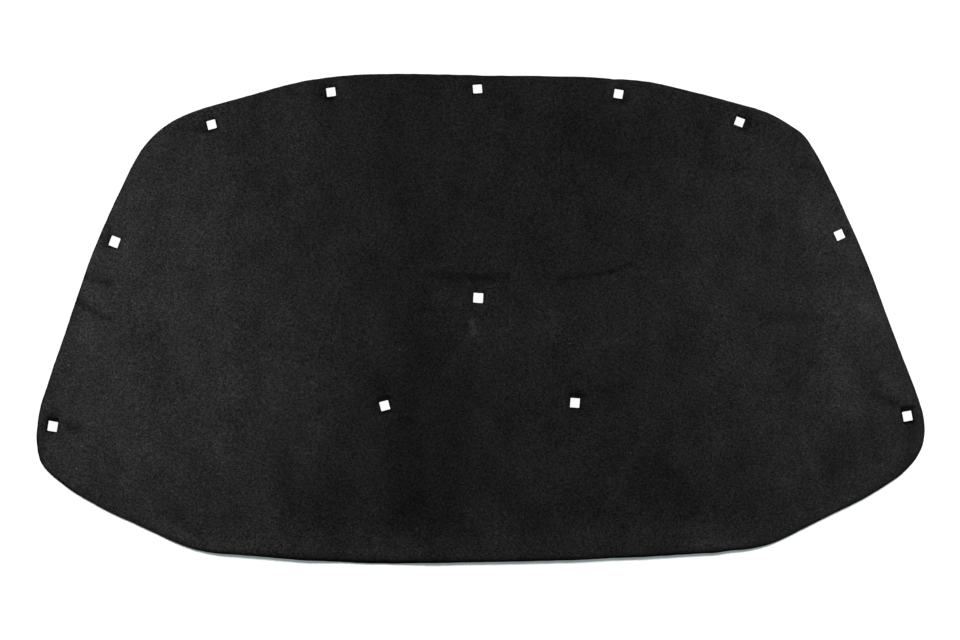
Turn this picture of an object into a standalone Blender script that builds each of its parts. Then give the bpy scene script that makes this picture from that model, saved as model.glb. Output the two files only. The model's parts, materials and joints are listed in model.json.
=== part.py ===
"""Sound insulation pad for the underside of a car bonnet.

The pad is one sheet of needled felt, moulded with a thin rolled edge, pressed at its clip
seats and punched with square clip holes. It lies flat on its back face, with the face that
looks at the engine turned up. X runs across the car, +Y points to the narrow edge at the
front of the car, and the origin is on the back face, at the middle of the pad's outline.
Lengths are in metres and angles in degrees.
"""
import math

import bmesh
import bpy
import numpy as np
from mathutils.geometry import delaunay_2d_cdt

# Outline: sharp corners before rounding, from the centre line and behind the front edge
SHOULDER_HALF_WIDTH = 0.236
SHOULDER_RADIUS = 0.675
FRONT_CORNER_HALF_WIDTH = 0.4845
FRONT_CORNER_BACK = 0.070
FRONT_CORNER_RADIUS = 0.148
SIDE_BEND_HALF_WIDTH = 0.568
SIDE_BEND_BACK = 0.238
SIDE_BEND_RADIUS = 1.435
REAR_CORNER_HALF_WIDTH = 0.689
REAR_CORNER_BACK = 0.579
REAR_CORNER_RADIUS = 0.099
REAR_BLEND_HALF_WIDTH = 0.431
REAR_BLEND_BACK = 0.713
REAR_BLEND_RADIUS = 0.275
REAR_POINT_BACK = 0.7455
REAR_BOW_RADIUS = 4.850

# Section of the felt
FELT_THICKNESS = 0.010
EDGE_THICKNESS = 0.0035
EDGE_ROLL_WIDTH = 0.008

# Clip holes: square; a station is measured along the edge from the middle of the front
CLIP_HOLE_SIDE = 0.0141
CLIP_HOLE_CORNER_RADIUS = 0.0012
FRONT_CENTRE_HOLE_INSET = 0.0200
FRONT_HOLE_STATION = 0.218
FRONT_HOLE_INSET = 0.0220
SHOULDER_HOLE_STATION = 0.408
SHOULDER_HOLE_INSET = 0.0255
SIDE_HOLE_STATION = 0.669
SIDE_HOLE_INSET = 0.0225
REAR_CORNER_HOLE_STATION = 0.966
REAR_CORNER_HOLE_INSET = 0.0235
CENTRE_HOLE_BACK = 0.3335
INNER_HOLE_BACK = 0.493
INNER_HOLE_HALF_SPACING = 0.143
INNER_HOLE_TURN = 9.0

# Pressed seats round the clip holes
SEAT_DEPTH = 0.0018
SEAT_LAND_WIDTH = 0.004
SEAT_BLEND_WIDTH = 0.008
SEAT_FLAT_RADIUS = CLIP_HOLE_SIDE / 2 + SEAT_LAND_WIDTH

# Soft ridges that run from front to rear: x, front end y, rear end y, half width, height
RIDGES = (
    (-0.500, 0.060, -0.250, 0.045, 0.0010),
    (-0.368, 0.050, -0.230, 0.040, 0.0012),
    (-0.245, 0.040, -0.240, 0.045, 0.0010),
    (0.118, 0.030, -0.110, 0.035, 0.0011),
    (0.362, 0.045, -0.220, 0.045, 0.0012),
    (0.520, 0.070, -0.200, 0.050, 0.0010),
)
RIDGE_END_LENGTH = 0.060

# Fineness of the mesh
FIELD_PITCH = 0.0195
BACK_PITCH = 0.090
ARC_STEP = 7.5
ROLL_STEPS = 4
SEAT_RING_POINTS = 12
HOLE_CORNER_STEPS = 2
PUNCH_OVERSHOOT = 0.005

FELT_COLOUR = (0.016, 0.016, 0.017, 1.0)
FELT_ROUGHNESS = 0.95


def clear_scene():
    for old in list(bpy.data.objects):
        bpy.data.objects.remove(old, do_unlink=True)


def smooth_step(t):
    """Ease from 0 to 1 for t from 0 to 1; works on numbers and arrays."""
    t = np.clip(t, 0.0, 1.0)
    return t * t * (3.0 - 2.0 * t)


def outline_corners():
    """Sharp corners anticlockwise from the left shoulder, as x, y and rounding radius."""
    left = [
        (-SHOULDER_HALF_WIDTH, 0.0, SHOULDER_RADIUS),
        (-FRONT_CORNER_HALF_WIDTH, -FRONT_CORNER_BACK, FRONT_CORNER_RADIUS),
        (-SIDE_BEND_HALF_WIDTH, -SIDE_BEND_BACK, SIDE_BEND_RADIUS),
        (-REAR_CORNER_HALF_WIDTH, -REAR_CORNER_BACK, REAR_CORNER_RADIUS),
        (-REAR_BLEND_HALF_WIDTH, -REAR_BLEND_BACK, REAR_BLEND_RADIUS),
    ]
    rear = [(0.0, -REAR_POINT_BACK, REAR_BOW_RADIUS)]
    right = [(-x, y, radius) for x, y, radius in reversed(left)]
    return left + rear + right


def corner_shares(corners, turns):
    """Share of its radius that each corner can have, below 1 where a side is too short."""
    wanted = [radius * math.tan(abs(turn) / 2) for (_, _, radius), turn in zip(corners, turns)]
    shares = [1.0] * len(corners)
    for i, (x, y, _) in enumerate(corners):
        j = (i + 1) % len(corners)
        side = math.hypot(corners[j][0] - x, corners[j][1] - y)
        share = min(1.0, 0.99 * side / max(wanted[i] + wanted[j], 1e-9))
        shares[i] = min(shares[i], share)
        shares[j] = min(shares[j], share)
    return shares


def corner_arc(corner, radius, heading, turn):
    """Points of the arc that rounds a corner, where the edge turns left by the turn."""
    side = math.copysign(1.0, turn)
    start = corner - radius * math.tan(abs(turn) / 2) * unit(heading)
    centre = start + side * radius * unit(heading + math.pi / 2)
    along = round(radius * abs(turn) / FIELD_PITCH)
    around = round(math.degrees(abs(turn)) / ARC_STEP)
    steps = max(2, along, around)
    angles = [heading - side * math.pi / 2 + turn * k / steps for k in range(steps + 1)]
    return [centre + radius * unit(angle) for angle in angles]


def unit(angle):
    return np.array((math.cos(angle), math.sin(angle)))


def divided(start, end, pitch):
    """Points between start and end, at an even spacing near the pitch, without the ends."""
    count = max(1, round(float(np.linalg.norm(end - start)) / pitch))
    return [start + (end - start) * k / count for k in range(1, count)]


def pad_outline():
    """Closed anticlockwise loop of the pad's edge, starting at the middle of the front."""
    corners = outline_corners()
    headings = []
    for (x, y, _), (next_x, next_y, _) in zip(corners, corners[1:] + corners[:1]):
        headings.append(math.atan2(next_y - y, next_x - x))
    turns = []
    for i, heading in enumerate(headings):
        turns.append((heading - headings[i - 1] + math.pi) % (2 * math.pi) - math.pi)
    shares = corner_shares(corners, turns)
    loop = [np.array((0.0, 0.0))]
    for i, (x, y, radius) in enumerate(corners):
        arc = corner_arc(np.array((x, y)), radius * shares[i], headings[i - 1], turns[i])
        loop.extend(divided(loop[-1], arc[0], FIELD_PITCH))
        loop.extend(arc)
    loop.extend(divided(loop[-1], loop[0], FIELD_PITCH))
    loop = np.array(loop)
    loop[:, 1] -= (loop[:, 1].max() + loop[:, 1].min()) / 2
    return loop


def inward_offset(loop, inset):
    """The loop moved inward by the inset, along the normal at each of its points."""
    along = np.roll(loop, -1, axis=0) - np.roll(loop, 1, axis=0)
    along /= np.linalg.norm(along, axis=1)[:, None]
    return loop + inset * np.stack([-along[:, 1], along[:, 0]], axis=1)


def edge_distance(points, loop):
    """Distance from each point to the nearest side of the loop."""
    sides = np.roll(loop, -1, axis=0) - loop
    from_starts = points[:, None, :] - loop[None, :, :]
    along = (from_starts * sides[None, :, :]).sum(axis=2) / (sides ** 2).sum(axis=1)
    nearest = from_starts - np.clip(along, 0.0, 1.0)[:, :, None] * sides[None, :, :]
    return np.linalg.norm(nearest, axis=2).min(axis=1)


def inside(points, loop):
    """Which points lie inside the closed loop: those with an odd count of sides beyond."""
    x, y = points[:, :1], points[:, 1:]
    ends = np.roll(loop, -1, axis=0)
    straddles = (loop[:, 1] > y) != (ends[:, 1] > y)
    rise = np.where(ends[:, 1] == loop[:, 1], 1.0, ends[:, 1] - loop[:, 1])
    crossing = loop[:, 0] + (y - loop[:, 1]) * (ends[:, 0] - loop[:, 0]) / rise
    return (straddles & (x < crossing)).sum(axis=1) % 2 == 1


def edge_hole(loop, station, inset):
    """Clip hole at a distance along the left edge and an inset from it: x, y, heading."""
    lengths = np.linalg.norm(np.diff(loop, axis=0), axis=1)
    travelled = np.concatenate([[0.0], np.cumsum(lengths)])
    i = int(np.searchsorted(travelled, station, side="right")) - 1
    along = (loop[i + 1] - loop[i]) / lengths[i]
    inward = np.array((-along[1], along[0]))
    centre = loop[i] + along * (station - travelled[i]) + inward * inset
    return centre[0], centre[1], math.atan2(along[1], along[0])


def clip_holes(loop):
    """Every clip hole as its centre x and y and the angle of its sides."""
    front = loop[0][1]
    holes = [
        (0.0, front - FRONT_CENTRE_HOLE_INSET, 0.0),
        (0.0, front - CENTRE_HOLE_BACK, 0.0),
    ]
    left = [
        edge_hole(loop, FRONT_HOLE_STATION, FRONT_HOLE_INSET),
        edge_hole(loop, SHOULDER_HOLE_STATION, SHOULDER_HOLE_INSET),
        edge_hole(loop, SIDE_HOLE_STATION, SIDE_HOLE_INSET),
        edge_hole(loop, REAR_CORNER_HOLE_STATION, REAR_CORNER_HOLE_INSET),
        (-INNER_HOLE_HALF_SPACING, front - INNER_HOLE_BACK, math.radians(INNER_HOLE_TURN)),
    ]
    for x, y, angle in left:
        holes.append((x, y, angle))
        holes.append((-x, y, -angle))
    return holes


def seat_share(points, holes):
    """How far each point lies in a pressed seat: 1 on the flat, easing to 0 outside it."""
    centres = np.array([hole[:2] for hole in holes])
    nearest = np.linalg.norm(points[:, None, :] - centres[None, :, :], axis=2).min(axis=1)
    return 1.0 - smooth_step((nearest - SEAT_FLAT_RADIUS) / SEAT_BLEND_WIDTH)


def ridge_height(points):
    """Height that the soft ridges add at each point."""
    height = np.zeros(len(points))
    for x, front_end, rear_end, half_width, crest in RIDGES:
        across = 1.0 - smooth_step(np.abs(points[:, 0] - x) / half_width)
        from_front = smooth_step((front_end - points[:, 1]) / RIDGE_END_LENGTH)
        from_rear = smooth_step((points[:, 1] - rear_end) / RIDGE_END_LENGTH)
        height += crest * across * from_front * from_rear
    return height


def face_height(points, roll, holes):
    """Height of the moulded face; roll is 0 at the thin edge and 1 on the full felt."""
    seat = seat_share(points, holes)
    felt = EDGE_THICKNESS + (FELT_THICKNESS - EDGE_THICKNESS) * roll
    return felt + ridge_height(points) * roll * (1.0 - seat) - SEAT_DEPTH * seat * roll


def field_points(ring, holes, pitch):
    """Triangular grid inside the ring that keeps clear of it and of the pressed seats."""
    row_step = pitch * math.sqrt(3) / 2
    low, high = ring.min(axis=0), ring.max(axis=0)
    rows = []
    for k in range(int((high[1] - low[1]) / row_step) + 1):
        count = int((high[0] - low[0]) / 2 / pitch) + 1
        shift = pitch / 2 * (k % 2)
        xs = (np.arange(-count, count + 1)) * pitch + shift
        rows.append(np.stack([xs, np.full(len(xs), low[1] + k * row_step)], axis=1))
    grid = np.concatenate(rows)
    grid = grid[inside(grid, ring)]
    grid = grid[edge_distance(grid, ring) > 0.6 * pitch]
    seat_radius = SEAT_FLAT_RADIUS + SEAT_BLEND_WIDTH
    for x, y, _ in holes:
        grid = grid[np.hypot(grid[:, 0] - x, grid[:, 1] - y) > seat_radius + 0.45 * pitch]
    return grid


def seat_points(ring, holes):
    """Rings of points that carry the flat and the soft side of each pressed seat."""
    points = []
    for x, y, angle in holes:
        points.append((x, y))
        for blend in (0.0, 0.5, 1.0):
            radius = SEAT_FLAT_RADIUS + SEAT_BLEND_WIDTH * blend
            for k in range(SEAT_RING_POINTS):
                turn = angle + 2 * math.pi * k / SEAT_RING_POINTS
                points.append((x + radius * math.cos(turn), y + radius * math.sin(turn)))
    points = np.array(points)
    points = points[inside(points, ring)]
    return points[edge_distance(points, ring) > 0.15 * FIELD_PITCH]


def fill_ring(mesh, ring_verts, inner, heights, upward):
    """Triangulate inside a closed ring of vertices, through the inner points."""
    inner_verts = [mesh.verts.new((x, y, z)) for (x, y), z in zip(inner, heights)]
    verts = ring_verts + inner_verts
    sides = [(i, (i + 1) % len(ring_verts)) for i in range(len(ring_verts))]
    flat = [vert.co.xy for vert in verts]
    _, _, triangles, sources, _, _ = delaunay_2d_cdt(flat, sides, [], 1, 1e-6)
    for triangle in triangles:
        corners = [verts[sources[i][0]] for i in triangle]
        mesh.faces.new(corners if upward else corners[::-1])


def loft_rings(mesh, lower, upper):
    """Join two rings of vertices, of one length, by a band of faces that looks outward."""
    for i in range(len(lower)):
        j = (i + 1) % len(lower)
        mesh.faces.new((lower[i], lower[j], upper[j], upper[i]))


def felt_blank(loop, holes):
    """The pressed felt sheet before it is punched."""
    mesh = bmesh.new()
    rings = [[mesh.verts.new((x, y, 0.0)) for x, y in loop]]
    for k in range(ROLL_STEPS + 1):
        angle = math.pi / 2 * k / ROLL_STEPS
        ring = inward_offset(loop, EDGE_ROLL_WIDTH * (1.0 - math.cos(angle)))
        heights = face_height(ring, math.sin(angle), holes)
        rings.append([mesh.verts.new((x, y, z)) for (x, y), z in zip(ring, heights)])
    for lower, upper in zip(rings, rings[1:]):
        loft_rings(mesh, lower, upper)
    inner = np.concatenate([seat_points(ring, holes), field_points(ring, holes, FIELD_PITCH)])
    fill_ring(mesh, rings[-1], inner, face_height(inner, 1.0, holes), upward=True)
    back = field_points(loop, [], BACK_PITCH)
    fill_ring(mesh, rings[0], back, np.zeros(len(back)), upward=False)
    return mesh


def square_punch(mesh, x, y, angle):
    """A square post with rounded edges, through the felt at one clip hole."""
    half = CLIP_HOLE_SIDE / 2 - CLIP_HOLE_CORNER_RADIUS
    foot = []
    for quarter, (side_x, side_y) in enumerate(((1, 1), (-1, 1), (-1, -1), (1, -1))):
        for k in range(HOLE_CORNER_STEPS + 1):
            turn = math.pi / 2 * (quarter + k / HOLE_CORNER_STEPS)
            local_x = side_x * half + CLIP_HOLE_CORNER_RADIUS * math.cos(turn)
            local_y = side_y * half + CLIP_HOLE_CORNER_RADIUS * math.sin(turn)
            post_x = x + local_x * math.cos(angle) - local_y * math.sin(angle)
            post_y = y + local_x * math.sin(angle) + local_y * math.cos(angle)
            foot.append(mesh.verts.new((post_x, post_y, -PUNCH_OVERSHOOT)))
    head_z = FELT_THICKNESS + PUNCH_OVERSHOOT
    head = [mesh.verts.new((vert.co.x, vert.co.y, head_z)) for vert in foot]
    mesh.faces.new(foot[::-1])
    mesh.faces.new(head)
    loft_rings(mesh, foot, head)


def punch_set(holes):
    mesh = bmesh.new()
    for x, y, angle in holes:
        square_punch(mesh, x, y, angle)
    return mesh


def add_object(name, mesh):
    data = bpy.data.meshes.new(name)
    mesh.to_mesh(data)
    mesh.free()
    item = bpy.data.objects.new(name, data)
    bpy.context.scene.collection.objects.link(item)
    return item


def felt_material():
    material = bpy.data.materials.new("black_needled_felt")
    material.use_nodes = True
    shader = material.node_tree.nodes["Principled BSDF"]
    shader.inputs["Base Color"].default_value = FELT_COLOUR
    shader.inputs["Roughness"].default_value = FELT_ROUGHNESS
    shader.inputs["Metallic"].default_value = 0.0
    return material


def insulation_pad():
    """The finished pad: the felt blank with its clip holes punched through."""
    loop = pad_outline()
    holes = clip_holes(loop)
    pad = add_object("insulation_pad", felt_blank(loop, holes))
    pad.data.materials.append(felt_material())
    punches = add_object("clip_hole_punches", punch_set(holes))
    punches.hide_render = True
    punches.display_type = "WIRE"
    cut = pad.modifiers.new("clip_holes", "BOOLEAN")
    cut.operation = "DIFFERENCE"
    cut.solver = "EXACT"
    cut.object = punches
    pad.data.shade_smooth()
    pad.data.set_sharp_from_angle(angle=math.radians(40.0))
    return pad


clear_scene()
insulation_pad()
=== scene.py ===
import json
import math

import bmesh
import bpy
import numpy as np
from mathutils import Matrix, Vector, noise
from mathutils.geometry import delaunay_2d_cdt

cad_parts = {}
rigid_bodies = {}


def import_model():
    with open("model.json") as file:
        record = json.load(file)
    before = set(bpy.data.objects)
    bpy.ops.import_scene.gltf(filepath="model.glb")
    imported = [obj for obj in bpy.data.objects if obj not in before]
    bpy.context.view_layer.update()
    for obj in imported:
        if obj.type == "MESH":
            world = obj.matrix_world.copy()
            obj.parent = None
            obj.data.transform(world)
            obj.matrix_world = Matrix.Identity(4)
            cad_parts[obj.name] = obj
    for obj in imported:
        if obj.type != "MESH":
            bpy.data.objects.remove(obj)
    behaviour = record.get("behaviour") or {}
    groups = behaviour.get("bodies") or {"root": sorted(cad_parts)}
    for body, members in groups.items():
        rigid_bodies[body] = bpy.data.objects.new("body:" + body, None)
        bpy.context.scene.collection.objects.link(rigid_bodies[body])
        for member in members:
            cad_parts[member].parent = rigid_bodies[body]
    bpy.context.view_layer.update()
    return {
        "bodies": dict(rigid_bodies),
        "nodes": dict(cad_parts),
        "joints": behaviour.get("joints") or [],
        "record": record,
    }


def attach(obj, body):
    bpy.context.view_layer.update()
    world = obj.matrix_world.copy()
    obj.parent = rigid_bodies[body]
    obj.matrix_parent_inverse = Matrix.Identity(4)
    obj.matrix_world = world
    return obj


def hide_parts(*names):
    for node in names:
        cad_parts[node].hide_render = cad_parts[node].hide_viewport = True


# Looks of the sound insulation pad. The needled felt sheet is modelled again on the outline
# and the clip holes of the CAD solid, with a soft rolled edge, pressed seats, and the swells
# and creases of real felt, and painted light and shade on its edges, holes, creases and dents.
# Lengths are in metres, in the frame of the CAD.

# Section of the felt and its pressed seats, as in the CAD
FELT_THICKNESS = 0.010
EDGE_THICKNESS = 0.0035
EDGE_ROLL_WIDTH = 0.008
SEAT_DEPTH = 0.0018
SEAT_FLAT_RADIUS = 0.01105
SEAT_BLEND_WIDTH = 0.008
HOLE_CORNER_RADIUS = 0.0012
HOLE_CORNER_STEPS = 4

# Soft ridges from front to rear, as in the CAD: x, front end y, rear end y, half width, height
RIDGES = (
    (-0.500, 0.060, -0.250, 0.045, 0.0010),
    (-0.368, 0.050, -0.230, 0.040, 0.0012),
    (-0.245, 0.040, -0.240, 0.045, 0.0010),
    (0.118, 0.030, -0.110, 0.035, 0.0011),
    (0.362, 0.045, -0.220, 0.045, 0.0012),
    (0.520, 0.070, -0.200, 0.050, 0.0010),
)
RIDGE_END_LENGTH = 0.060
# Painted highlight on the ridges, as a share added to the felt's colour
RIDGE_HIGHLIGHT = 0.06

# Creases, dents and bumps, their tone painted shade and painted highlight on their sides: both
# ends' x and y, half width, height and tone
MARKS = (
    (-0.6435, -0.1445, -0.6315, -0.1467, 0.0070, -0.0006, -0.50),
    (-0.6427, -0.1379, -0.6323, -0.1395, 0.0120, -0.0004, -0.22),
    (-0.6110, -0.1575, -0.6000, -0.1590, 0.012, -0.0006, -0.34),
    (-0.4180, 0.2890, -0.4060, 0.2860, 0.014, -0.0007, -0.34),
    (-0.3900, 0.3030, -0.3867, 0.2896, 0.0045, -0.0003, -0.30),
    (-0.4031, 0.2855, -0.3881, 0.2891, 0.0045, -0.0003, -0.30),
    (-0.5327, 0.1267, -0.5366, 0.1117, 0.0045, -0.0003, -0.40),
    (-0.5520, 0.1129, -0.5385, 0.1091, 0.0045, -0.0003, -0.40),
    (-0.2370, 0.3390, -0.2180, 0.3315, 0.011, -0.0007, -0.30),
    (-0.2259, 0.3324, -0.2124, 0.3323, 0.005, -0.0003, -0.34),
    (-0.0084, 0.3383, 0.0141, 0.3381, 0.005, -0.0003, -0.22),
    (-0.2090, 0.3560, -0.2010, 0.3570, 0.010, 0.0005, 0.20),
    (0.1960, 0.3530, 0.2040, 0.3530, 0.010, 0.0005, 0.18),
    (0.2080, 0.3290, 0.2210, 0.3260, 0.012, -0.0006, -0.34),
    (0.4065, 0.2960, 0.4020, 0.2825, 0.011, -0.0007, -0.38),
    (0.3919, 0.3044, 0.4009, 0.3006, 0.0045, -0.0003, -0.42),
    (0.5910, -0.1150, 0.6230, -0.1300, 0.009, -0.0007, -0.30),
    (0.6340, -0.1370, 0.6500, -0.1352, 0.0068, -0.0006, -0.62),
    (0.6330, -0.1411, 0.6352, -0.1546, 0.0045, -0.0002, -0.28),
    (0.6367, -0.1584, 0.6502, -0.1569, 0.0050, -0.0003, -0.36),
    (0.6130, -0.1010, 0.6220, -0.1030, 0.014, 0.0006, 0.20),
    (-0.0130, 0.0638, 0.0150, 0.0618, 0.0105, -0.0006, -0.30),
    (-0.0560, 0.0640, 0.0400, 0.0620, 0.020, -0.0003, -0.17),
    (-0.0240, 0.0290, 0.0280, 0.0240, 0.022, 0.0003, 0.16),
    (0.0170, 0.0615, 0.0450, 0.0640, 0.007, -0.0004, -0.18),
    (-0.0800, 0.0680, -0.0300, 0.0645, 0.008, -0.0004, -0.16),
    (0.1210, 0.0590, 0.1990, 0.0700, 0.007, -0.0007, -0.34),
    (0.1990, 0.0700, 0.2300, 0.0820, 0.006, -0.0006, -0.34),
    (-0.0090, -0.0005, -0.0075, -0.0215, 0.0072, 0.0005, 1.00),
    (-0.0090, 0.0060, -0.0070, -0.0290, 0.014, 0.0003, 0.20),
    (-0.0820, 0.0150, -0.0460, 0.0150, 0.009, -0.0005, -0.18),
    (-0.1489, -0.1192, -0.1324, -0.1155, 0.0060, -0.0006, -0.42),
    (-0.1410, -0.1020, -0.1390, -0.1110, 0.0110, -0.0004, -0.18),
    (-0.1463, -0.1391, -0.1313, -0.1362, 0.0045, -0.0003, -0.28),
    (-0.1430, -0.1500, -0.1260, -0.1440, 0.008, 0.0005, 0.20),
    (-0.1020, -0.1510, -0.1000, -0.1520, 0.010, -0.0005, -0.20),
    (0.1397, -0.1135, 0.1554, -0.1142, 0.0065, -0.0006, -0.42),
    (0.1434, -0.1082, 0.1569, -0.1082, 0.0090, -0.0003, -0.14),
    (0.1240, -0.1170, 0.1250, -0.1330, 0.010, 0.0005, 0.26),
    (-0.5900, 0.0690, -0.5510, 0.0580, 0.009, -0.0009, -0.38),
    (-0.5980, 0.0300, -0.5510, 0.0040, 0.009, -0.0009, -0.34),
    (0.4220, 0.0000, 0.5120, -0.0010, 0.010, -0.0006, -0.20),
    (0.5540, 0.0300, 0.5910, 0.0020, 0.018, 0.0006, 0.16),
    (0.1120, 0.0110, 0.1150, -0.0300, 0.010, 0.0006, 0.34),
    (-0.4660, -0.3040, -0.4200, -0.3330, 0.013, 0.0006, 0.22),
    (-0.4510, -0.2840, -0.4480, -0.2970, 0.022, -0.0007, -0.24),
    (-0.2501, 0.0532, -0.2537, -0.0443, 0.016, 0.0004, 0.15),
    (0.5550, -0.2740, 0.4350, -0.3330, 0.013, 0.0006, 0.18),
    (0.4880, -0.1980, 0.5020, -0.2430, 0.014, 0.0006, 0.16),
)

# Unevenness of the marks' sides: share of the width, size and a number that places the pattern
RAGGED_SHARE = 0.45
RAGGED_WIDTH = 0.0075
RAGGED_PLACE = 17.9

# Broad bands of painted light and shade: both ends' x and y, half width and tone
LIGHT_AND_SHADE_BANDS = (
    (-0.420, 0.160, -0.330, -0.160, 0.170, 0.24),
    (-0.230, 0.100, -0.220, -0.140, 0.080, 0.08),
    (-0.110, 0.330, -0.080, -0.270, 0.080, -0.17),
    (0.000, 0.000, 0.250, 0.010, 0.080, 0.12),
    (0.300, 0.180, 0.370, -0.020, 0.130, 0.14),
    (0.440, 0.250, 0.500, 0.150, 0.090, 0.15),
    (0.100, 0.275, 0.450, 0.220, 0.085, -0.16),
    (-0.470, 0.220, -0.470, 0.110, 0.050, -0.12),
    (-0.280, -0.250, -0.050, -0.290, 0.070, -0.18),
    (0.270, -0.250, 0.400, -0.300, 0.070, -0.18),
    (-0.400, -0.322, -0.020, -0.336, 0.030, 0.14),
    (0.020, -0.336, 0.400, -0.322, 0.030, 0.22),
    (-0.400, -0.334, -0.200, -0.347, 0.015, 0.24),
    (-0.190, -0.348, -0.005, -0.352, 0.015, 0.18),
    (0.005, -0.352, 0.190, -0.348, 0.015, 0.18),
    (0.200, -0.347, 0.400, -0.334, 0.015, 0.24),
    (-0.425, -0.346, -0.215, -0.3605, 0.011, -0.42),
    (-0.205, -0.361, -0.005, -0.3655, 0.011, -0.42),
    (0.005, -0.3655, 0.205, -0.361, 0.011, -0.42),
    (0.215, -0.3605, 0.425, -0.346, 0.011, -0.42),
    (-0.645, -0.110, -0.610, -0.230, 0.100, -0.30),
    (0.640, -0.150, 0.530, -0.250, 0.110, -0.27),
    (-0.140, -0.110, -0.100, -0.300, 0.070, -0.14),
    (0.160, -0.120, 0.200, -0.140, 0.070, -0.14),
    (0.530, 0.150, 0.560, 0.130, 0.060, 0.10),
    (-0.600, -0.252, -0.430, -0.339, 0.011, -0.20),
    (0.600, -0.254, 0.430, -0.341, 0.010, -0.16),
    (0.651, -0.165, 0.648, -0.205, 0.022, -0.24),
    (0.642, -0.220, 0.608, -0.246, 0.020, -0.20),
    (-0.656, -0.175, -0.652, -0.205, 0.010, -0.18),
    (-0.645, -0.225, -0.615, -0.249, 0.010, -0.20),
    (-0.604, 0.033, -0.618, -0.012, 0.034, -0.22),
    (0.195, -0.283, 0.245, -0.290, 0.045, -0.13),
    (-0.214, -0.185, -0.212, -0.197, 0.045, -0.14),
    (-0.505, -0.262, -0.450, -0.298, 0.042, -0.12),
    (0.212, 0.118, 0.284, 0.149, 0.052, -0.10),
    (0.562, 0.083, 0.603, -0.012, 0.034, 0.14),
    (0.520, 0.169, 0.525, 0.162, 0.036, -0.14),
    (0.553, -0.244, 0.515, -0.270, 0.036, 0.12),
    (-0.565, 0.091, -0.500, 0.098, 0.035, 0.11),
    (-0.436, 0.112, -0.436, 0.100, 0.036, -0.13),
    (-0.496, -0.015, -0.480, -0.060, 0.036, 0.11),
    (-0.565, -0.108, -0.545, -0.112, 0.038, -0.13),
)

# Swells of the felt: width across and along, height and a number that places the pattern
SWELLS = (
    (0.260, 0.420, 0.0010, 3.1),
    (0.085, 0.240, 0.0006, 7.7),
    (0.045, 0.070, 0.0003, 10.2),
    (0.020, 0.022, 0.00012, 12.4),
)

# How the soft sheet lies: places on it, and how far each is pulled in x and y
PULL_REACH = 0.150
PULLS = (
    (0.000, 0.350, 0.0017, -0.0003),
    (-0.215, 0.345, -0.0025, 0.0016),
    (0.215, 0.345, -0.0018, -0.0008),
    (-0.395, 0.300, -0.0014, 0.0007),
    (0.395, 0.300, -0.0007, -0.0002),
    (-0.480, 0.230, 0.0001, -0.0002),
    (0.480, 0.230, -0.0005, 0.0004),
    (-0.545, 0.120, -0.0015, -0.0005),
    (0.545, 0.120, 0.0000, 0.0014),
    (-0.590, 0.000, -0.0006, -0.0014),
    (0.590, 0.000, -0.0014, 0.0005),
    (-0.645, -0.150, 0.0013, -0.0028),
    (0.645, -0.150, 0.0015, 0.0011),
    (-0.600, -0.250, 0.0014, 0.0003),
    (0.600, -0.250, 0.0020, 0.0032),
    (-0.450, -0.320, -0.0005, 0.0017),
    (0.450, -0.320, -0.0017, -0.0001),
    (-0.250, -0.355, 0.0003, -0.0007),
    (0.250, -0.355, 0.0003, 0.0026),
    (0.000, -0.360, -0.0003, 0.0018),
    (-0.330, -0.350, 0.0000, 0.0010),
    (-0.165, -0.360, 0.0000, -0.0006),
    (0.000, 0.035, 0.0003, 0.0001),
    (-0.143, -0.125, 0.0019, -0.0013),
    (0.143, -0.125, 0.0015, 0.0010),
    (-0.105, 0.360, -0.0001, 0.0019),
    (0.105, 0.360, 0.0000, -0.0020),
)

# Clip holes as punched: x and y nearby, shift in x and y, turn in degrees and size as a share
HOLE_ODDITIES = (
    (-0.396, 0.294, 0.0001, -0.0006, -2.0, 1.00),
    (-0.215, 0.340, -0.0005, -0.0002, 0.0, 0.98),
    (0.000, 0.346, 0.0004, 0.0002, 5.0, 0.96),
    (0.215, 0.340, -0.0005, -0.0008, -3.1, 0.99),
    (0.396, 0.294, -0.0003, -0.0004, -5.6, 0.98),
    (-0.543, 0.121, 0.0011, -0.0005, 2.4, 1.10),
    (0.543, 0.121, 0.0004, 0.0003, 1.3, 1.03),
    (-0.641, -0.153, 0.0006, -0.0010, -1.8, 1.12),
    (0.641, -0.153, -0.0001, 0.0005, 1.6, 1.09),
    (0.000, 0.032, -0.0001, -0.0001, -4.3, 1.04),
    (-0.143, -0.127, 0.0004, -0.0001, 5.0, 1.00),
    (0.143, -0.127, 0.0002, 0.0000, 4.3, 1.02),
)

# The rear edge lifts off the floor a little, to both sides of a place where it touches
REAR_LIFT = 0.0066
REAR_LIFT_START = -0.270
REAR_LIFT_END = -0.355
REAR_LIFT_HALF_WIDTH = 0.465
REAR_LIFT_SIDE = 0.100
REAR_TOUCH = -0.165
REAR_TOUCH_HALF_WIDTH = 0.020
REAR_TOUCH_SIDE = 0.078

# Waves of the cut edge: width, depth and a number that places the pattern
EDGE_WAVES = (
    (0.070, 0.0006, 21.3),
    (0.012, 0.0003, 25.9),
)

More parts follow.
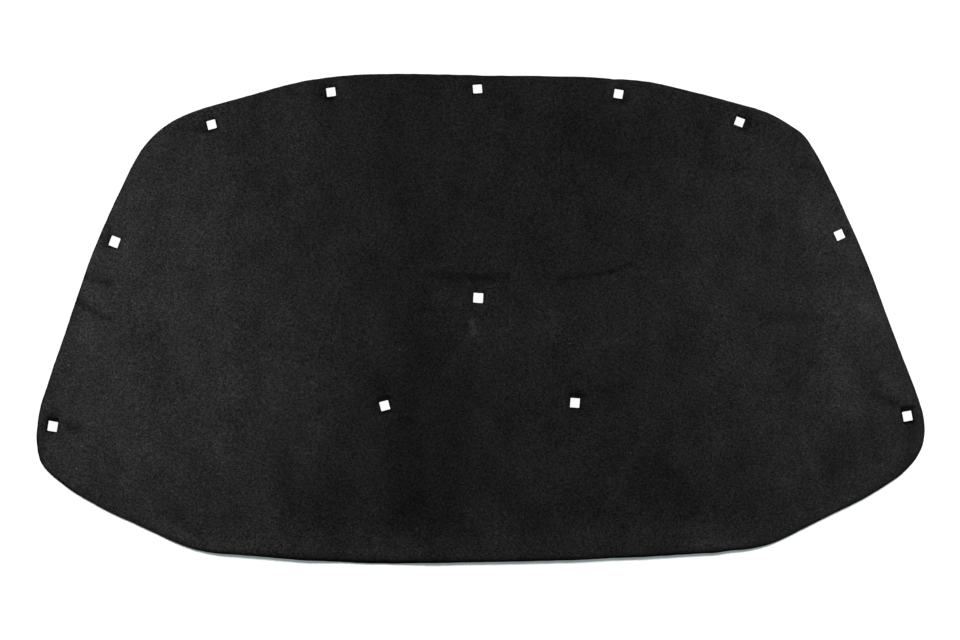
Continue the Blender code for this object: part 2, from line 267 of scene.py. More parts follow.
# Bulges and hollows of the cut edge: x and y on it, half width along it and how far it stands out
EDGE_BULGES = (
    (0.593, 0.056, 0.070, 0.0007),
    (0.553, 0.153, 0.045, -0.0009),
    (0.488, 0.272, 0.028, 0.0018),
    (0.453, 0.300, 0.045, -0.0009),
    (0.260, 0.353, 0.045, 0.0010),
    (0.201, 0.360, 0.028, -0.0008),
    (0.086, 0.363, 0.045, 0.0011),
    (0.016, 0.366, 0.028, -0.0007),
    (-0.122, 0.368, 0.070, 0.0006),
    (-0.257, 0.358, 0.028, 0.0008),
    (-0.326, 0.343, 0.045, -0.0007),
    (-0.402, 0.320, 0.045, 0.0011),
    (-0.577, 0.099, 0.070, 0.0010),
    (-0.623, -0.028, 0.070, -0.0007),
    (-0.654, -0.121, 0.028, 0.0011),
    (-0.663, -0.157, 0.028, -0.0014),
    (-0.654, -0.208, 0.028, 0.0026),
    (-0.627, -0.244, 0.028, -0.0021),
    (-0.556, -0.283, 0.070, 0.0017),
    (-0.490, -0.315, 0.045, 0.0008),
    (-0.427, -0.340, 0.070, 0.0017),
    (-0.336, -0.354, 0.070, -0.0008),
    (-0.173, -0.363, 0.070, 0.0014),
    (-0.116, -0.364, 0.045, 0.0006),
    (-0.025, -0.365, 0.045, -0.0007),
    (0.021, -0.364, 0.070, -0.0010),
    (0.091, -0.363, 0.070, -0.0008),
    (0.178, -0.361, 0.070, -0.0008),
    (0.378, -0.350, 0.028, -0.0016),
    (0.437, -0.338, 0.045, 0.0012),
    (0.580, -0.268, 0.070, 0.0018),
    (0.625, -0.243, 0.028, -0.0006),
    (0.663, -0.192, 0.045, 0.0021),
    (0.637, -0.060, 0.070, -0.0010),
    (0.2055, 0.358, 0.006, -0.0008),
)

# Rounded profiles, as steps from the under face to the upper. The lip under the edge has an inset
# and a height, the foot of a hole a growth and a height, and its lip a growth and a drop.
UNDER_LIP = ((0.0008, 0.0), (0.0002, 0.0004), (0.0, 0.0012), (0.0, 0.0024))
ROLL_STEPS = 10
HOLE_LIP = ((0.0, 0.0012), (0.0001, 0.0005), (0.0004, 0.0001), (0.0009, 0.0))
HOLE_FOOT = ((0.0003, 0.0), (0.0, 0.0007), (0.0, 0.0030), (0.0, 0.0052))

# Fray of the punched holes: width, depth and a number that places the pattern
HOLE_FRAY = (0.003, 0.0002, 31.7)

# Fineness of the mesh: spacing of its points, and steps of a curve as a share of the way from
# one CAD point to the next
OUTLINE_PITCH = 0.0035
HOLE_PITCH = 0.0010
FIELD_PITCH = 0.0042
FINE_PITCH = 0.0021
BACK_PITCH = 0.0300
CURVE_STEP = 0.125

# Points of the CAD mesh closer than this are one, and lie on its flat back below this height
BACK_TOLERANCE = 1e-5

# Filling points keep out of a hole's ring grown by a share, looked for within a reach of its middle
HOLE_REACH = 0.02
HOLE_GROWTH = 1.10

# The triangulation: points closer than this are one, and it keeps what lies inside the outer ring
MERGE_DISTANCE = 1e-7
KEEP_INSIDE = 1

# How many parts a loop is split into, to measure distances to one part after another
LOOP_PARTS = 60

# Tones of the cut edges, as a share added to the felt's colour: darker pressed felt at the cut,
# and painted shade where the edge faces away from the light. The edge is dark at the rear and
# the sides, and eases to its front tone, a painted highlight, where it faces the front by more
# than a share. Its tone fades up the roll by a power. The walls of the clip holes get painted
# shade, and their rims darker pressed felt with painted shade, and a rim's tone fades over a width.
EDGE_PRESS_AND_SHADE = -0.60
FRONT_EDGE_HIGHLIGHT = 0.06
FRONT_FACING = 0.5
EDGE_SHADE_POWER = 4
HOLE_WALL_SHADE = -0.75
HOLE_RIM_PRESS_AND_SHADE = -0.38
HOLE_EDGE_WIDTH = 0.0034

# Grain: cells of noise in a metre along each axis
CLUMP_SCALE = (330.0, 330.0, 330.0)
CLUMP_DETAIL = 3.0
CLUMP_ROUGHNESS = 0.7
ACROSS_SCALE = (200.0, 700.0, 300.0)
ALONG_SCALE = (700.0, 200.0, 300.0)
FIBRE_SCALE = (190.0, 800.0, 400.0)
FIBRE_DETAIL = 1.0
FIBRE_TURNS = (24.0, 83.0, 141.0)  # degrees
FIBRE_HALF_WIDTH = 0.05

# How much of the grain is clumps, each direction of matting, all of these, and fibres
CLUMP_SHARE = 0.5
MATTING_SHARE = 0.25
BODY_SHARE = 0.9
FIBRE_SHARE = 0.16

# Felt's colour from the gaps to the fibres: places on the grain, and the colours there
GAP_COLOUR = (0.34, (0.0019, 0.0019, 0.0019, 1.0))
MIDDLE_COLOUR = (0.50, (0.0107, 0.0106, 0.0106, 1.0))
FIBRE_COLOUR = (0.74, (0.0436, 0.0430, 0.0430, 1.0))

# Cloudy patches: cells in a metre, and how strongly and from what level they change the colour
CLOUD_SCALE = (16.0, 12.0, 12.0)
CLOUD_DETAIL = 4.5
CLOUD_ROUGHNESS = 0.72
CLOUD_CONTRAST = 1.40
CLOUD_LEVEL = 0.30

BUMP_STRENGTH = 0.55
BUMP_DISTANCE = 0.0009

# Lint: directions of the short pale fibres in degrees, cells in a metre with at most one fibre
# each, their radius as a share of a cell and their solid core as a share of that, how many cells
# have one, and the tone of the palest
LINT_TURNS = (38.0, 131.0)
LINT_CELLS = (9.0, 27.0, 1.0)
LINT_SIZE = 0.014
LINT_CORE = 0.4
LINT_SHARE = 0.45
LINT_TONE = 6.0

# Stage. The floor glows for the camera and not on the pad, a little cool as the photo's shadow
# strip is. The sun lights only the floor, and the softboxes light only the pad.
FLOOR_COLOUR = (0.86, 0.86, 0.86, 1.0)
FLOOR_SIZE = 30.0
FLOOR_GAP = 0.0004
FLOOR_GLOW = 0.24
GLOW_COLOUR = (0.84, 0.98, 1.02, 1.0)
FLOOR_SUN = 3.6
FLOOR_SUN_ANGLE = 13.0
FLOOR_SUN_HEIGHT = 63.0
CARD_SIZE = 0.024
WORLD_LIGHT = 0.026
WHITE = (1.0, 1.0, 1.0, 1.0)

# Softboxes: name, place, point it looks at, length, height and watts
SOFTBOXES = (
    ("left_softbox", (-1.0, 0.10, 0.40), (-0.1, 0.1, 0.0), 1.8, 0.3, 19.3),
    ("right_softbox", (1.0, 0.16, 0.35), (0.1, 0.1, 0.0), 1.8, 0.3, 14.2),
    ("far_softbox", (0.0, 1.6, 1.0), (0.0, 0.0, 0.0), 1.8, 0.4, 2.2),
)

# Camera: lens in millimetres, place, and turn in degrees
CAMERA_LENS = 60.0
CAMERA_PLACE = (0.0031, -0.0008, 2.4035)
CAMERA_TURN = -0.343


def smooth_step(t):
    """Ease from 0 to 1 for t from 0 to 1; works on numbers and arrays."""
    t = np.clip(t, 0.0, 1.0)
    return t * t * (3.0 - 2.0 * t)


def signed_area(loop):
    """Area of a closed loop, above zero where it runs anticlockwise."""
    after = np.roll(loop, -1, axis=0)
    return float((loop[:, 0] * after[:, 1] - after[:, 0] * loop[:, 1]).sum()) / 2


def back_loops(mesh):
    """Closed anticlockwise loops on the flat back, the longest first: outline, then holes."""
    work = bmesh.new()
    work.from_mesh(mesh)
    bmesh.ops.remove_doubles(work, verts=work.verts, dist=BACK_TOLERANCE)
    back = [
        face for face in work.faces
        if max(abs(vert.co.z) for vert in face.verts) < BACK_TOLERANCE
    ]
    on_back = set(back)
    following = {}
    for face in back:
        for corner in face.loops:
            if sum(other in on_back for other in corner.edge.link_faces) == 1:
                following[corner.vert] = corner.link_loop_next.vert
    loops = []
    while following:
        vert, after = following.popitem()
        loop = [vert.co.xy[:]]
        while after in following:
            loop.append(after.co.xy[:])
            after = following.pop(after)
        loop = np.array(loop)
        loops.append(loop if signed_area(loop) > 0 else loop[::-1])
    work.free()
    return sorted(loops, key=lambda loop: -abs(signed_area(loop)))


def evenly_spaced(loop, pitch):
    """The closed loop as a smooth curve through its points, at an even spacing."""
    after = np.roll(loop, -1, axis=0)
    chord = np.linalg.norm(after - loop, axis=1)[:, None]
    chord_before = np.roll(chord, 1, axis=0)
    slope = (after - loop) / chord
    slope_before = np.roll(slope, 1, axis=0)
    tangent = (chord * slope_before + chord_before * slope) / (chord + chord_before)
    tangent_after = np.roll(tangent, -1, axis=0)
    parts = []
    for t in np.arange(0.0, 1.0, CURVE_STEP):
        parts.append(
            (2 * t ** 3 - 3 * t ** 2 + 1) * loop
            + (t ** 3 - 2 * t ** 2 + t) * chord * tangent
            + (3 * t ** 2 - 2 * t ** 3) * after
            + (t ** 3 - t ** 2) * chord * tangent_after
        )
    curve = np.stack(parts, axis=1).reshape(-1, 2)
    closed = np.vstack([curve, curve[:1]])
    steps = np.linalg.norm(np.diff(closed, axis=0), axis=1)
    travelled = np.concatenate([[0.0], np.cumsum(steps)])
    count = round(travelled[-1] / pitch)
    stations = np.arange(count) * travelled[-1] / count
    columns = [np.interp(stations, travelled, closed[:, axis]) for axis in (0, 1)]
    return np.stack(columns, axis=1)


def loop_normals(loop):
    """Inward normals of an anticlockwise loop."""
    along = np.roll(loop, -1, axis=0) - np.roll(loop, 1, axis=0)
    along /= np.linalg.norm(along, axis=1)[:, None]
    return np.stack([-along[:, 1], along[:, 0]], axis=1)


def pattern(points, width, place):
    """Smooth noise from about -1 to 1 at each point, with swells of the given width."""
    return np.array([noise.noise(Vector((x / width, y / width, place))) for x, y in points])


def hole_frames(loops):
    """Centre, angle of the sides and side length of each square clip hole."""
    frames = []
    odd = np.array(HOLE_ODDITIES)
    for loop in loops:
        sides = np.roll(loop, -1, axis=0) - loop
        longest = sides[np.linalg.norm(sides, axis=1).argmax()]
        angle = math.atan2(longest[1], longest[0])
        across = np.array((math.cos(angle), math.sin(angle)))
        reach = loop @ across
        middle = (loop.min(axis=0) + loop.max(axis=0)) / 2
        nearest = np.hypot(odd[:, 0] - middle[0], odd[:, 1] - middle[1]).argmin()
        shift_x, shift_y, turn, share = odd[nearest, 2:]
        side = share * float(reach.max() - reach.min())
        frames.append((middle[0] + shift_x, middle[1] + shift_y, angle + math.radians(turn), side))
    return frames


def square_ring(frame, grow):
    """Points round a clip hole, at the given distance outside its edge."""
    x, y, angle, side = frame
    radius = HOLE_CORNER_RADIUS + grow
    half = side / 2 - HOLE_CORNER_RADIUS
    per_side = round(2 * half / HOLE_PITCH)
    ring = []
    for quarter, (side_x, side_y) in enumerate(((1, 1), (-1, 1), (-1, -1), (1, -1))):
        for k in range(HOLE_CORNER_STEPS + 1):
            turn = math.pi / 2 * (quarter + k / HOLE_CORNER_STEPS)
            corner_x = side_x * half + radius * math.cos(turn)
            corner_y = side_y * half + radius * math.sin(turn)
            ring.append((corner_x, corner_y))
        for k in range(1, per_side):
            step = 2 * half * k / per_side
            ring.append((corner_x - math.sin(turn) * step, corner_y + math.cos(turn) * step))
    ring = np.array(ring)
    spin = np.array(((math.cos(angle), math.sin(angle)), (-math.sin(angle), math.cos(angle))))
    return ring @ spin + np.array((x, y))


def mark_share(points, line, half_width, ragged=1.0):
    """How far each point lies in a mark: 1 on its line, easing to 0 at its half width.

    Values of ragged over 1 narrow the mark at their points, and values under 1 widen it.
    """
    start, end = np.array(line[0:2]), np.array(line[2:4])
    way = end - start
    along = np.clip((points - start) @ way / (way @ way), 0.0, 1.0)
    away = np.linalg.norm(points - start - along[:, None] * way, axis=1)
    return 1.0 - smooth_step(away * ragged / half_width)


def hole_distance(points, holes):
    """Distance from each point to the middle of the nearest clip hole."""
    centres = np.array([frame[:2] for frame in holes])
    return np.linalg.norm(points[:, None, :] - centres[None, :, :], axis=2).min(axis=1)


def rim_press_and_shade(points, holes):
    """Tone of the rim round the square clip holes at each point: darker pressed felt, with painted
    shade where the lip turns down into the hole.
    """
    tone = np.zeros(len(points))
    for x, y, angle, side in holes:
        away = points - (x, y)
        across = np.abs(away @ (math.cos(angle), math.sin(angle)))
        along = np.abs(away @ (-math.sin(angle), math.cos(angle)))
        outside = np.maximum(across, along) - side / 2
        tone += HOLE_RIM_PRESS_AND_SHADE * (1.0 - smooth_step(outside / HOLE_EDGE_WIDTH))
    return tone


def ridge_share(points):
    """Height of the soft ridges at each point, and how far it lies on one."""
    height = np.zeros(len(points))
    share = np.zeros(len(points))
    for x, front_end, rear_end, half_width, crest in RIDGES:
        across = 1.0 - smooth_step(np.abs(points[:, 0] - x) / half_width)
        from_front = smooth_step((front_end - points[:, 1]) / RIDGE_END_LENGTH)
        from_rear = smooth_step((points[:, 1] - rear_end) / RIDGE_END_LENGTH)
        height += crest * across * from_front * from_rear
        share += across * from_front * from_rear
    return height, share


def lie(points):
    """How far each point of the sheet is moved in x and y by the way the felt lies."""
    moved = np.zeros((len(points), 2))
    for x, y, pull_x, pull_y in PULLS:
        away = np.hypot(points[:, 0] - x, points[:, 1] - y)
        moved += np.exp(-(away / PULL_REACH) ** 2)[:, None] * np.array((pull_x, pull_y))
    return moved


def rear_lift(points):
    """Height of the sheet's back over the floor at each point."""
    from_front = (REAR_LIFT_START - points[:, 1]) / (REAR_LIFT_START - REAR_LIFT_END)
    from_side = (REAR_LIFT_HALF_WIDTH - np.abs(points[:, 0])) / REAR_LIFT_SIDE
    from_touch = (np.abs(points[:, 0] - REAR_TOUCH) - REAR_TOUCH_HALF_WIDTH) / REAR_TOUCH_SIDE
    return REAR_LIFT * smooth_step(from_front) * smooth_step(from_side) * smooth_step(from_touch)


def face_relief(points, holes):
    """Height over the full felt and tone of the upper face at each point; the tone is painted light
    and shade on ridges, bands, creases and dents.
    """
    height, share = ridge_share(points)
    # The ridges get a painted highlight.
    tone = RIDGE_HIGHLIGHT * share
    laid = points + lie(points)
    # Bands of painted light and shade.
    for *line, half_width, band_light_and_shade in LIGHT_AND_SHADE_BANDS:
        tone += band_light_and_shade * mark_share(laid, line, half_width)
    for across, along, swell, place in SWELLS:
        height += swell * pattern(points * (1.0, across / along), across, place)
    ragged = 1.0 + RAGGED_SHARE * pattern(points, RAGGED_WIDTH, RAGGED_PLACE)
    # The marks' tone is painted shade and painted highlight on creases, dents and bumps.
    for *line, half_width, mark_height, mark_light_and_shade in MARKS:
        share = mark_share(laid, line, half_width, ragged)
        height += mark_height * share
        tone += mark_light_and_shade * share
    past_flat = hole_distance(points, holes) - SEAT_FLAT_RADIUS
    seat = 1.0 - smooth_step(past_flat / SEAT_BLEND_WIDTH)
    return height * (1.0 - seat) - SEAT_DEPTH * seat, tone


def grid_points(low, high, pitch):
    """Triangular grid of points over a rectangle."""
    row_step = pitch * math.sqrt(3) / 2
    rows = []
    for k in range(int((high[1] - low[1]) / row_step) + 1):
        xs = np.arange(low[0] + pitch / 2 * (k % 2), high[0], pitch)
        rows.append(np.stack([xs, np.full(len(xs), low[1] + k * row_step)], axis=1))
    return np.concatenate(rows)


def inside(points, loop):
    """Which points lie inside the closed loop: those with an odd count of sides beyond."""
    ends = np.roll(loop, -1, axis=0)
    odd = np.zeros(len(points), bool)
    for (x0, y0), (x1, y1) in zip(loop, ends):
        if y0 != y1:
            straddles = (y0 > points[:, 1]) != (y1 > points[:, 1])
            crossing = x0 + (points[:, 1] - y0) * (x1 - x0) / (y1 - y0)
            odd ^= straddles & (points[:, 0] < crossing)
    return odd


def near_marks(points, holes, margin):
    """Which points lie on a mark or a pressed seat, or within a margin of one."""
    near = hole_distance(points, holes) < SEAT_FLAT_RADIUS + SEAT_BLEND_WIDTH + margin
    for *line, half_width, _, _ in MARKS:
        near |= mark_share(points, line, half_width + margin) > 0.0
    return near


def edge_distance(points, loop):
    """Distance from each point to the nearest point of a closely spaced loop."""
    nearest = np.full(len(points), np.inf)
    for part in np.array_split(loop, LOOP_PARTS):
        away = np.linalg.norm(points[:, None, :] - part[None, :, :], axis=2).min(axis=1)
        nearest = np.minimum(nearest, away)
    return nearest


def filling_points(ring, rings_inside, pitch, holes):
    """Grid points between a ring and the rings inside it, finer near marks on the upper face."""
    low, high = ring.min(axis=0), ring.max(axis=0)
    grid = grid_points(low, high, pitch)
    if pitch == FIELD_PITCH:
        fine = grid_points(low, high, FINE_PITCH)
        fine = fine[near_marks(fine, holes, 0.0)]
        grid = grid[~near_marks(grid, holes, 0.5 * pitch)]
        grid = np.concatenate([grid, fine])
    grid = grid[inside(grid, ring)]
    grid = grid[edge_distance(grid, ring) > 0.5 * OUTLINE_PITCH]
    clear = np.ones(len(grid), bool)
    for hole_ring in rings_inside:
        middle = hole_ring.mean(axis=0)
        close = np.linalg.norm(grid - middle, axis=1) < HOLE_REACH
        inner = np.zeros(len(grid), bool)
        inner[close] = inside(grid[close], middle + (hole_ring - middle) * HOLE_GROWTH)
        clear &= ~inner
    return grid[clear]


def fill(ring_ids, inner_rings, inner_ids, points, upward):
    """Triangles between the outer ring and the rings inside it, through the inner points."""
    ids = list(ring_ids)
    sides = [(i, (i + 1) % len(ring_ids)) for i in range(len(ring_ids))]
    ring_of = {}
    for number, ring in enumerate(inner_rings):
        first = len(ids)
        sides += [(first + i, first + (i + 1) % len(ring)) for i in range(len(ring))]
        ids += list(ring)
        for i in ring:
            ring_of[i] = number
    ids += list(inner_ids)
    flat = [Vector(points[i][:2]) for i in ids]
    _, _, triangles, sources, _, _ = delaunay_2d_cdt(flat, sides, [], KEEP_INSIDE, MERGE_DISTANCE)
    faces = []
    for triangle in triangles:
        corners = [ids[sources[i][0]] for i in triangle]
        rings = {ring_of.get(i) for i in corners}
        if len(rings) == 1 and None not in rings:
            continue
        faces.append(tuple(corners if upward else corners[::-1]))
    return faces


def ring_faces(lower, upper):
    """Faces that join two rings of points of one length and look outward."""
    after = list(range(1, len(lower))) + [0]
    return [(lower[i], lower[j], upper[j], upper[i]) for i, j in enumerate(after)]


class Sheet:
    """Points, tones and faces of the felt sheet as it is put together."""

    def __init__(self):
        self.points = []
        self.tones = []
        self.faces = []

    def add(self, flat, heights, tones):
        """Add points at the given heights and tones, and return their numbers."""
        first = len(self.points)
        heights = np.broadcast_to(heights, len(flat))
        tones = np.broadcast_to(tones, len(flat))
        self.points += [(x, y, z) for (x, y), z in zip(flat.tolist(), heights.tolist())]
        self.tones += tones.tolist()
        return list(range(first, len(self.points)))


def cut_edge(outline, normals):
    """The outline with the unevenness of its real cut."""
    for width, depth, place in EDGE_WAVES:
        outline = outline + depth * pattern(outline, width, place)[:, None] * normals
    laid = outline + lie(outline)
    for x, y, half_width, bulge in EDGE_BULGES:
        away = np.hypot(laid[:, 0] - x, laid[:, 1] - y)
        outline = outline - bulge * (1.0 - smooth_step(away / half_width))[:, None] * normals
    return outline


def edge_rings(sheet, outline, normals, holes):
    """The rounded edge from the back up to the full felt."""
    # Painted shade on the edge where it faces the rear and the sides, easing to a painted highlight
    # where it faces the front.
    front = smooth_step((-normals[:, 1] - FRONT_FACING) / (1.0 - FRONT_FACING))
    edge_press_and_light = EDGE_PRESS_AND_SHADE + (FRONT_EDGE_HIGHLIGHT - EDGE_PRESS_AND_SHADE) * front
    rings = []
    for inset, height in UNDER_LIP:
        rings.append(sheet.add(outline + inset * normals, height, edge_press_and_light * (height > 0.0)))
    for k in range(1, ROLL_STEPS + 1):
        angle = math.pi / 2 * k / ROLL_STEPS
        roll = math.sin(angle)
        flat = outline + EDGE_ROLL_WIDTH * (1.0 - math.cos(angle)) * normals
        relief, tone = face_relief(flat, holes)
        height = EDGE_THICKNESS + (FELT_THICKNESS - EDGE_THICKNESS + relief) * roll
        rings.append(sheet.add(flat, height, tone + edge_press_and_light * (1.0 - roll ** EDGE_SHADE_POWER)))
    for lower, upper in zip(rings, rings[1:]):
        sheet.faces += ring_faces(lower, upper)
    return rings[0], rings[-1]


def hole_rings(sheet, frame, holes):
    """The wall of a clip hole from the back up to its rounded lip."""
    rings = []
    for grow, height in HOLE_FOOT:
        # The hole's wall is darkened as painted shade.
        tone = HOLE_WALL_SHADE * (height > 0.0)
        rings.append(sheet.add(frayed(square_ring(frame, grow), frame), height, tone))
    for grow, drop in HOLE_LIP:
        flat = square_ring(frame, grow)
        relief, tone = face_relief(flat, holes)
        height = FELT_THICKNESS + relief - drop
        # The lip gets darker pressed felt with painted shade.
        rings.append(sheet.add(frayed(flat, frame), height, tone + HOLE_RIM_PRESS_AND_SHADE))
    for lower, upper in zip(rings, rings[1:]):
        sheet.faces += ring_faces(upper, lower)
    return rings[0], rings[-1]


def frayed(ring, frame):
    """The ring with the small unevenness of punched felt."""
    outward = ring - np.array(frame[:2])
    outward /= np.linalg.norm(outward, axis=1)[:, None]
    width, depth, place = HOLE_FRAY
    return ring + outward * depth * pattern(ring, width, place)[:, None]


def lay_down(sheet):
    """Move the sheet's points to where the soft felt lies."""
    points = np.array(sheet.points)
    lift = rear_lift(points)
    points[:, :2] += lie(points)
    points[:, 2] += lift
    sheet.points = [tuple(point) for point in points.tolist()]


def felt_sheet(cad_mesh):
    """Mesh of the felt sheet, on the outline and clip holes of the CAD solid."""
    loops = back_loops(cad_mesh)
    holes = hole_frames(loops[1:])
    outline = evenly_spaced(loops[0], OUTLINE_PITCH)
    normals = loop_normals(outline)
    sheet = Sheet()
    back_ring, face_ring = edge_rings(sheet, cut_edge(outline, normals), normals, holes)
    feet, lips = zip(*[hole_rings(sheet, frame, holes) for frame in holes])
    flat = np.array(sheet.points)[:, :2]
    lip_loops = [flat[list(ring)] for ring in lips]
    inner = filling_points(flat[face_ring], lip_loops, FIELD_PITCH, holes)
    relief, tone = face_relief(inner, holes)
    inner_ids = sheet.add(inner, FELT_THICKNESS + relief, tone + rim_press_and_shade(inner, holes))
    sheet.faces += fill(face_ring, lips, inner_ids, sheet.points, upward=True)
    foot_loops = [flat[list(ring)] for ring in feet]
    back = filling_points(flat[back_ring], foot_loops, BACK_PITCH, holes)
    back_ids = sheet.add(back, 0.0, 0.0)
    sheet.faces += fill(back_ring, feet, back_ids, sheet.points, upward=False)
    lay_down(sheet)
    mesh = bpy.data.meshes.new("needled_felt_pad")
    mesh.from_pydata(sheet.points, [], sheet.faces)
    tones = mesh.attributes.new("felt_tone_and_painted_light", "FLOAT", "POINT")
    tones.data.foreach_set("value", np.array(sheet.tones, np.float32))
    mesh.shade_smooth()
    mesh.update()
    return mesh, holes


def link(tree, output, target):
    """Join a shader node's output to an input."""
    tree.links.new(output, target)


def node(tree, kind, values=None, **settings):
    """A new shader node with its settings and with plain values or links on its inputs."""
    made = tree.nodes.new(kind)
    for name, value in settings.items():
        setattr(made, name, value)
    for key, value in (values or {}).items():
        if isinstance(value, bpy.types.NodeSocket):
            link(tree, value, made.inputs[key])
        else:
            made.inputs[key].default_value = value
    return made


def maths(tree, operation, first, second=0.0, third=0.0):
    """Output of a maths node."""
    values = {0: first, 1: second, 2: third}
    return node(tree, "ShaderNodeMath", values, operation=operation).outputs[0]


def turned_place(tree, place, scale, turn):
    """The place turned about Z by degrees and scaled along each axis."""
    return node(
        tree, "ShaderNodeMapping",
        {"Vector": place, "Rotation": (0.0, 0.0, math.radians(turn)), "Scale": scale},
    ).outputs[0]


def ramped(tree, value, low, high, at_low, at_high):
    """A value mapped from one range to another, and held at its ends."""
    return node(
        tree, "ShaderNodeMapRange",
        {"Value": value, "From Min": low, "From Max": high, "To Min": at_low, "To Max": at_high},
    ).outputs[0]


def felt_noise(tree, place, scale, turn, detail=2.0, roughness=0.6):
    """Noise stretched by a scale along each axis after a turn about Z."""
    mapped = turned_place(tree, place, scale, turn)
    return node(
        tree, "ShaderNodeTexNoise",
        {"Vector": mapped, "Scale": 1.0, "Detail": detail, "Roughness": roughness},
    ).outputs[0]


def lint_tone(tree, place):
    """Tone of short pale fibres scattered on the felt: one in some of the cells of a pattern."""
    tone = None
    for turn in LINT_TURNS:
        cells = node(
            tree, "ShaderNodeTexVoronoi",
            {"Vector": turned_place(tree, place, LINT_CELLS, turn), "Scale": 1.0},
            voronoi_dimensions="2D",
        )
        away = cells.outputs["Distance"]
        fibre = ramped(tree, away, LINT_CORE * LINT_SIZE, LINT_SIZE, 1.0, 0.0)
        picked = ramped(tree, cells.outputs["Color"], 1.0 - LINT_SHARE, 1.0, 0.0, LINT_TONE)
        tone = maths(tree, "MULTIPLY_ADD", fibre, picked, 0.0 if tone is None else tone)
    return tone


def felt_material():
    """Black needled felt: matted fibres with dark gaps between them, and a dull soft sheen."""
    material = bpy.data.materials.new("black_needled_felt")
    material.use_nodes = True
    tree = material.node_tree
    shader = tree.nodes["Principled BSDF"]
    place = node(tree, "ShaderNodeTexCoord").outputs["Object"]

    clumps = felt_noise(tree, place, CLUMP_SCALE, 0.0, CLUMP_DETAIL, CLUMP_ROUGHNESS)
    across = felt_noise(tree, place, ACROSS_SCALE, 0.0)
    along = felt_noise(tree, place, ALONG_SCALE, 0.0)
    body = maths(tree, "MULTIPLY", across, MATTING_SHARE)
    body = maths(tree, "MULTIPLY_ADD", clumps, CLUMP_SHARE, body)
    body = maths(tree, "MULTIPLY_ADD", along, MATTING_SHARE, body)

    fibres = None
    for turn in FIBRE_TURNS:
        wander = felt_noise(tree, place, FIBRE_SCALE, turn, FIBRE_DETAIL)
        off_line = maths(tree, "ABSOLUTE", maths(tree, "SUBTRACT", wander, 0.5))
        strand = ramped(tree, off_line, 0.0, FIBRE_HALF_WIDTH, 1.0, 0.0)
        fibres = strand if fibres is None else maths(tree, "MAXIMUM", fibres, strand)

    body = maths(tree, "MULTIPLY", body, BODY_SHARE)
    grain = maths(tree, "MULTIPLY_ADD", fibres, FIBRE_SHARE, body)
    ramp = node(tree, "ShaderNodeValToRGB", {0: grain})
    gap, fibre = ramp.color_ramp.elements
    gap.position, gap.color = GAP_COLOUR
    fibre.position, fibre.color = FIBRE_COLOUR
    ramp.color_ramp.elements.new(MIDDLE_COLOUR[0]).color = MIDDLE_COLOUR[1]

    clouds = felt_noise(tree, place, CLOUD_SCALE, 0.0, CLOUD_DETAIL, CLOUD_ROUGHNESS)
    patches = maths(tree, "MULTIPLY_ADD", clouds, CLOUD_CONTRAST, CLOUD_LEVEL)
    # Painted light and shade, with the pressed felt's tone, kept on the sheet's points.
    tone = node(tree, "ShaderNodeAttribute", attribute_name="felt_tone_and_painted_light").outputs["Fac"]
    tone = maths(tree, "ADD", tone, lint_tone(tree, place))
    strength = maths(tree, "MULTIPLY", patches, maths(tree, "ADD", tone, 1.0))
    colour = node(tree, "ShaderNodeVectorMath", {0: ramp.outputs[0]}, operation="SCALE")
    link(tree, strength, colour.inputs["Scale"])
    link(tree, colour.outputs[0], shader.inputs["Base Color"])

    bump = node(
        tree, "ShaderNodeBump",
        {"Height": grain, "Strength": BUMP_STRENGTH, "Distance": BUMP_DISTANCE},
    )
    link(tree, bump.outputs[0], shader.inputs["Normal"])
    shader.inputs["Roughness"].default_value = 0.95
    shader.inputs["Specular IOR Level"].default_value = 0.0
    shader.inputs["Sheen Weight"].default_value = 0.01
    shader.inputs["Sheen Roughness"].default_value = 0.6
    return material


def seen_rays(tree):
    """1 for the rays of the camera, reflections and clear materials, and 0 for those of light."""
    rays = node(tree, "ShaderNodeLightPath").outputs
    seen = maths(tree, "MAXIMUM", rays["Is Camera Ray"], rays["Is Glossy Ray"])
    return maths(tree, "MAXIMUM", seen, rays["Is Transmission Ray"])


def camera_only(tree, strength, colour=WHITE):
    """Glow that shows to the camera and in reflections, and lights nothing."""
    glow = maths(tree, "MULTIPLY", seen_rays(tree), strength)
    return node(tree, "ShaderNodeEmission", {"Color": colour, "Strength": glow}).outputs[0]


def floor_material():
    """Pale floor that shows white to the camera and keeps the soft shadow of the pad."""
    material = bpy.data.materials.new("studio_floor")
    material.use_nodes = True
    tree = material.node_tree
    tree.nodes.remove(tree.nodes["Principled BSDF"])
    lit = node(tree, "ShaderNodeBsdfDiffuse", {"Color": FLOOR_COLOUR}).outputs[0]
    glow = camera_only(tree, FLOOR_GLOW, GLOW_COLOUR)
    both = node(tree, "ShaderNodeAddShader", {0: lit, 1: glow}).outputs[0]
    link(tree, both, tree.nodes["Material Output"].inputs["Surface"])
    return material


def card_material():
    """White card that glows for the camera through the clip holes: painted light where the walls'
    shadow would fall on the floor.
    """
    material = bpy.data.materials.new("white_card")
    material.use_nodes = True
    tree = material.node_tree
    tree.nodes.remove(tree.nodes["Principled BSDF"])
    link(tree, camera_only(tree, 1.0), tree.nodes["Material Output"].inputs["Surface"])
    return material


def flat_squares(name, places, size, height, material):
    """Stage object of level squares, one round each place."""
    half = size / 2
    points = []
    for x, y in places:
        for side_x, side_y in ((-1, -1), (1, -1), (1, 1), (-1, 1)):
            points.append((x + side_x * half, y + side_y * half, height))
    faces = [tuple(range(k, k + 4)) for k in range(0, len(points), 4)]
    mesh = bpy.data.meshes.new(name)
    mesh.from_pydata(points, [], faces)
    mesh.materials.append(material)
    squares = bpy.data.objects.new(name, mesh)
    bpy.context.scene.collection.objects.link(squares)
    return squares


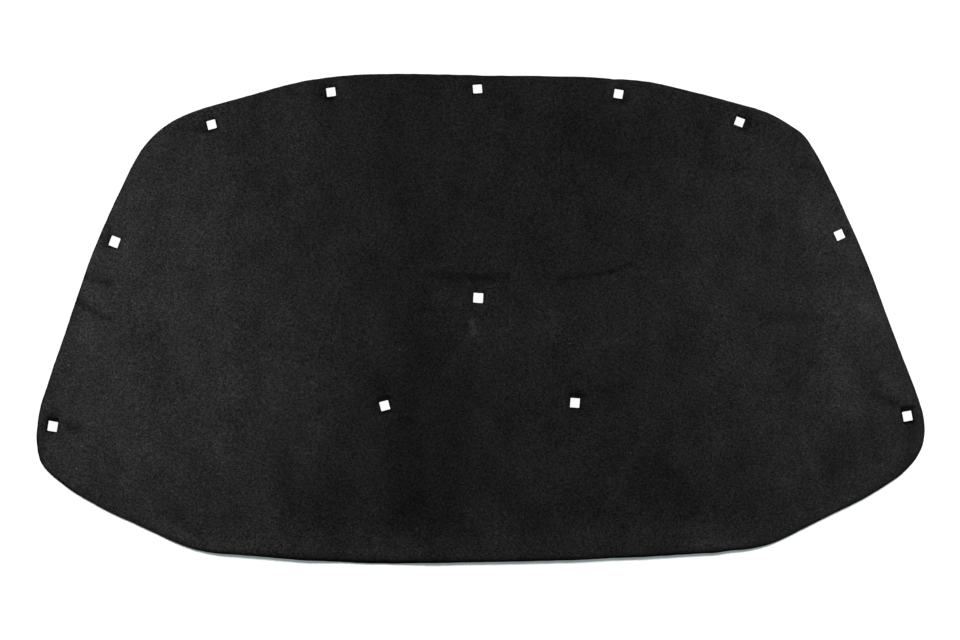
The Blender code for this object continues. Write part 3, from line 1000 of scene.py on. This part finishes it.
def add_world():
    """World that is white to the camera and gives the pad a weak even light."""
    world = bpy.data.worlds.new("studio")
    world.use_nodes = True
    tree = world.node_tree
    background = tree.nodes["Background"]
    background.inputs["Color"].default_value = WHITE
    level = maths(tree, "MULTIPLY_ADD", seen_rays(tree), 1.0 - WORLD_LIGHT, WORLD_LIGHT)
    link(tree, level, background.inputs["Strength"])
    bpy.context.scene.world = world


def lights_only(lamp, receiver):
    """The lamp lights one object and leaves the rest of the studio as it is."""
    group = bpy.data.collections.new(lamp.name + "_receiver")
    group.objects.link(receiver)
    lamp.light_linking.receiver_collection = group


def add_softbox(name, place, aim, length, height, watts, receiver):
    """A rectangular soft lamp that looks at a point, with its length level."""
    data = bpy.data.lights.new(name, "AREA")
    data.shape = "RECTANGLE"
    data.size = length
    data.size_y = height
    data.energy = watts
    lamp = bpy.data.objects.new(name, data)
    lamp.location = place
    lamp.rotation_euler = (Vector(aim) - Vector(place)).to_track_quat("-Z", "Y").to_euler()
    lamp.visible_camera = False
    bpy.context.scene.collection.objects.link(lamp)
    lights_only(lamp, receiver)


def add_floor_sun(receiver):
    """Even light for the floor from beyond the front edge, so the pad's shadow falls rearward."""
    data = bpy.data.lights.new("floor_sun", "SUN")
    data.energy = FLOOR_SUN
    data.angle = math.radians(FLOOR_SUN_ANGLE)
    lamp = bpy.data.objects.new("floor_sun", data)
    lamp.rotation_euler = (math.radians(FLOOR_SUN_HEIGHT - 90.0), 0.0, 0.0)
    bpy.context.scene.collection.objects.link(lamp)
    lights_only(lamp, receiver)


def add_camera():
    """Camera that looks straight down, as the photo's does."""
    data = bpy.data.cameras.new("camera")
    data.lens = CAMERA_LENS
    camera = bpy.data.objects.new("camera", data)
    camera.location = CAMERA_PLACE
    camera.rotation_euler = (0.0, 0.0, math.radians(CAMERA_TURN))
    bpy.context.scene.collection.objects.link(camera)
    bpy.context.scene.camera = camera


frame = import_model()

felt, holes = felt_sheet(frame["nodes"]["insulation_pad"].data)
felt.materials.append(felt_material())
pad = bpy.data.objects.new("felt_pad", felt)
bpy.context.scene.collection.objects.link(pad)
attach(pad, "root")
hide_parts("insulation_pad")

hole_places = np.array([hole[:2] for hole in holes])
hole_places += lie(hole_places)
floor = flat_squares("studio_floor", [(0.0, 0.0)], FLOOR_SIZE, -FLOOR_GAP, floor_material())
# Cards that glow white under the clip holes: painted light in place of the shade inside them.
flat_squares("hole_glow_cards", hole_places.tolist(), CARD_SIZE, -FLOOR_GAP / 2, card_material())
add_world()
add_floor_sun(floor)
for softbox in SOFTBOXES:
    add_softbox(*softbox, pad)
add_camera()

bpy.context.scene.view_settings.view_transform = "Standard"
